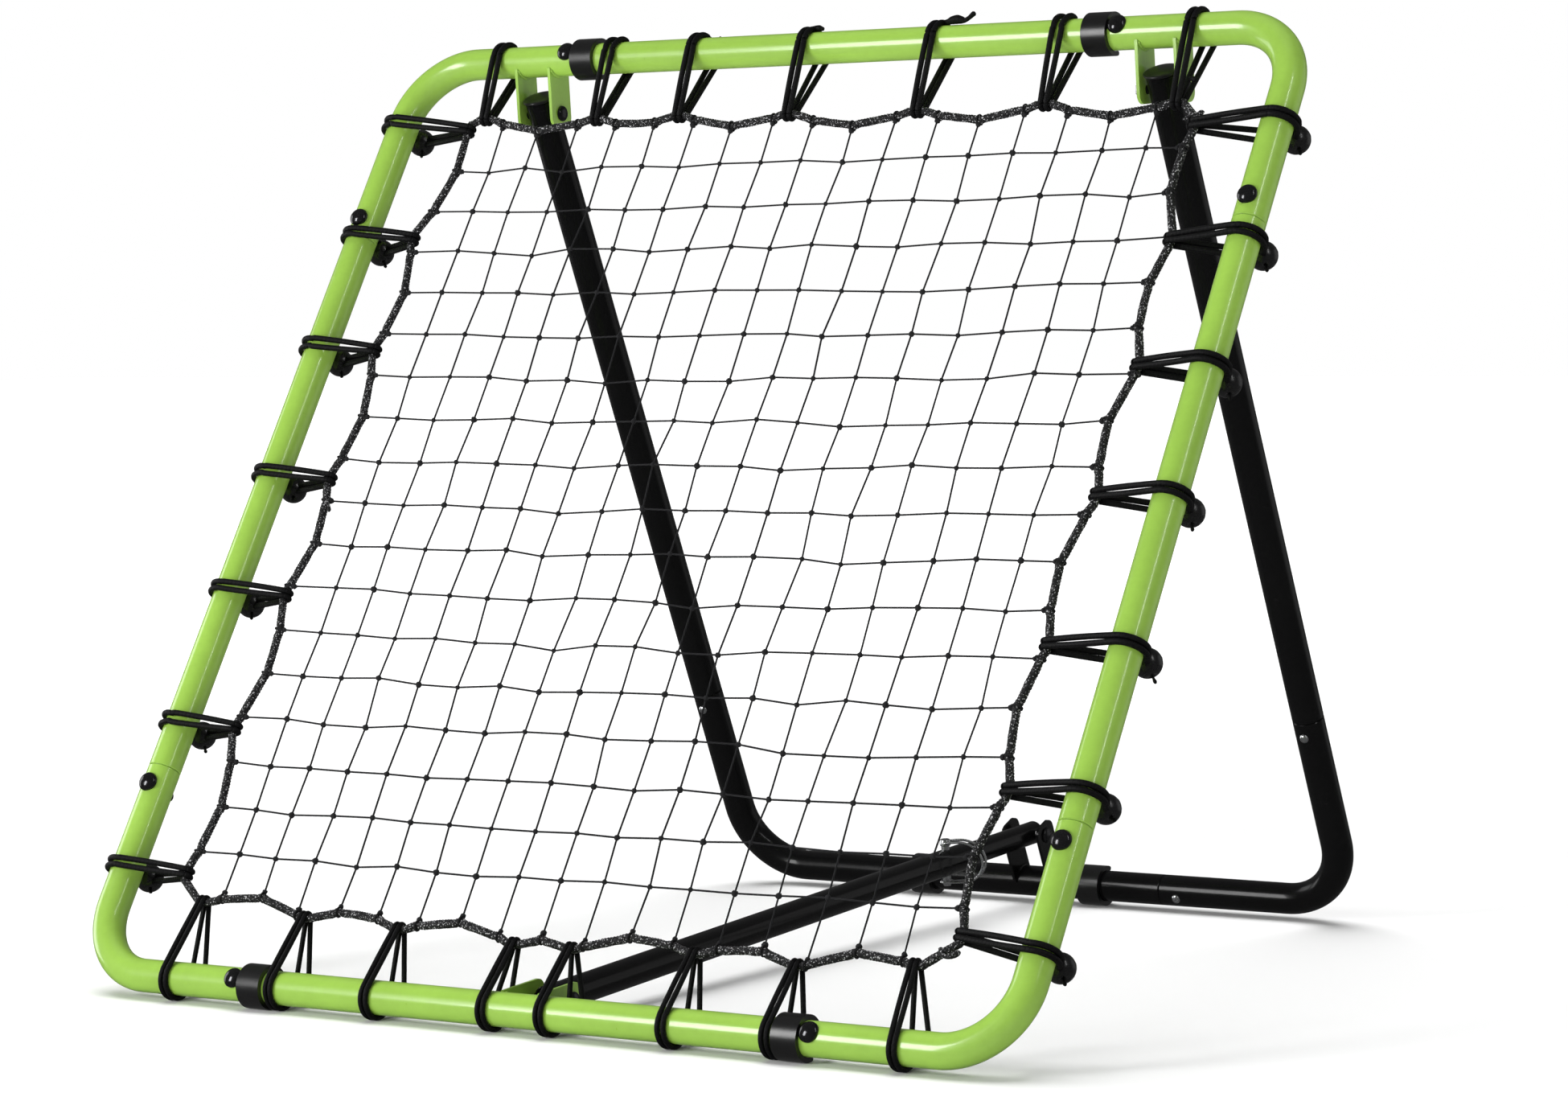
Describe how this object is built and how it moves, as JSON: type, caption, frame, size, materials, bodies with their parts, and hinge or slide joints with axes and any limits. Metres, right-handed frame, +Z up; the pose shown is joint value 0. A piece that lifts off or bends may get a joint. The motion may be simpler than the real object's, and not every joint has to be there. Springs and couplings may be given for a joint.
{
  "type": "pitch back rebounder",
  "caption": "Leaning pitch back rebounder: square bent-tube frame, knotted net laced in by elastic ball ties, hinged U-shaped stand and a telescoping strut with a wire lock pin.",
  "frame": {"origin": "on the floor, under the middle of the part's box", "axes": "+X to the part's right as seen from in front of the net, +Y from the net towards the stand, +Z up"},
  "size_m": [1.009, 0.8908, 0.8576],
  "materials": {
    "lime_paint": "glossy lime green powder coat",
    "black_paint": "glossy black powder coat",
    "black_plastic": "black satin plastic",
    "elastic_cord": "black woven cover of elastic cord, with black plastic ball",
    "braided_rope": "black braided rope with pale flecks",
    "net_twine": "black knotted twine",
    "zinc_steel": "bright zinc-plated steel"
  },
  "bodies": {
    "frame": {"frame_corner_top_left": "lime_paint", "frame_corner_top_right": "lime_paint", "frame_corner_bottom_left": "lime_paint", "frame_corner_bottom_right": "lime_paint", "frame_rail_top": "lime_paint", "frame_rail_bottom": "lime_paint", "frame_rail_left": "lime_paint", "frame_rail_right": "lime_paint", "clip_top_left": "black_plastic", "clip_top_right": "black_plastic", "clip_bottom_left": "black_plastic", "clip_bottom_right": "black_plastic", "net": "net_twine", "net_border_rope": "braided_rope", "tie_top_1": "elastic_cord", "tie_top_2": "elastic_cord", "tie_top_3": "elastic_cord", "tie_top_4": "elastic_cord", "tie_top_5": "elastic_cord", "tie_top_6": "elastic_cord", "tie_top_7": "elastic_cord", "tie_right_1": "elastic_cord", "tie_right_2": "elastic_cord", "tie_right_3": "elastic_cord", "tie_right_4": "elastic_cord", "tie_right_5": "elastic_cord", "tie_right_6": "elastic_cord", "tie_right_7": "elastic_cord", "tie_bottom_1": "elastic_cord", "tie_bottom_2": "elastic_cord", "tie_bottom_3": "elastic_cord", "tie_bottom_4": "elastic_cord", "tie_bottom_5": "elastic_cord", "tie_bottom_6": "elastic_cord", "tie_bottom_7": "elastic_cord", "tie_bottom_8": "elastic_cord", "tie_left_1": "elastic_cord", "tie_left_2": "elastic_cord", "tie_left_3": "elastic_cord", "tie_left_4": "elastic_cord", "tie_left_5": "elastic_cord", "tie_left_6": "elastic_cord", "tie_left_7": "elastic_cord", "hinge_bolt_left": "black_paint", "hinge_bolt_right": "black_paint", "strut_pivot_bolt_front": "black_paint"},
    "stand": {"stand_leg_left": "black_paint", "leg_cap_left": "black_plastic", "stand_corner_left": "black_paint", "stand_clip_left": "black_plastic", "stand_leg_right": "black_paint", "leg_cap_right": "black_plastic", "stand_corner_right": "black_paint", "stand_clip_right": "black_plastic", "stand_cross_tube": "black_paint", "strut_pivot_bolt_rear": "black_paint"},
    "strut_outer": {"strut_outer": "black_paint"},
    "strut_inner": {"strut_inner": "black_paint"},
    "lock_pin": {"lock_pin": "zinc_steel"},
    "lock_bail": {"lock_bail": "zinc_steel"}
  },
  "joints": [
    {"name": "stand_hinge", "type": "hinge", "parent": "frame", "child": "stand", "pos_m": [0, 0.09857, 0.78743], "axis": [1, 0, 0], "range_deg": [0, 41]},
    {"name": "strut_front_pivot", "type": "hinge", "parent": "frame", "child": "strut_outer", "pos_m": [0, -0.37578, 0.0228], "axis": [1, 0, 0], "range_deg": [0, 16.5]},
    {"name": "strut_slide", "type": "slide", "parent": "strut_outer", "child": "strut_inner", "axis": [0, 0.9982, 0.0595], "range_m": [0, 0.469]},
    {"name": "lock_pin_slide", "type": "slide", "parent": "strut_outer", "child": "lock_pin", "axis": [0, -0.0595, 0.9982], "range_m": [0, 0.048]},
    {"name": "lock_bail_hinge", "type": "hinge", "parent": "lock_pin", "child": "lock_bail", "pos_m": [0, 0.252, 0.07876], "axis": [0, -0.9982, -0.0595], "range_deg": [0, 110]}
  ],
  "couplings": [
    {"joint": "strut_front_pivot", "follows": "stand_hinge", "ratio": 0.40016},
    {"joint": "strut_slide", "follows": "stand_hinge", "m_per_rad": 0.65464},
    {"joint": "lock_pin_slide", "follows": "lock_bail_hinge", "m_per_rad": 0.02495}
  ]
}
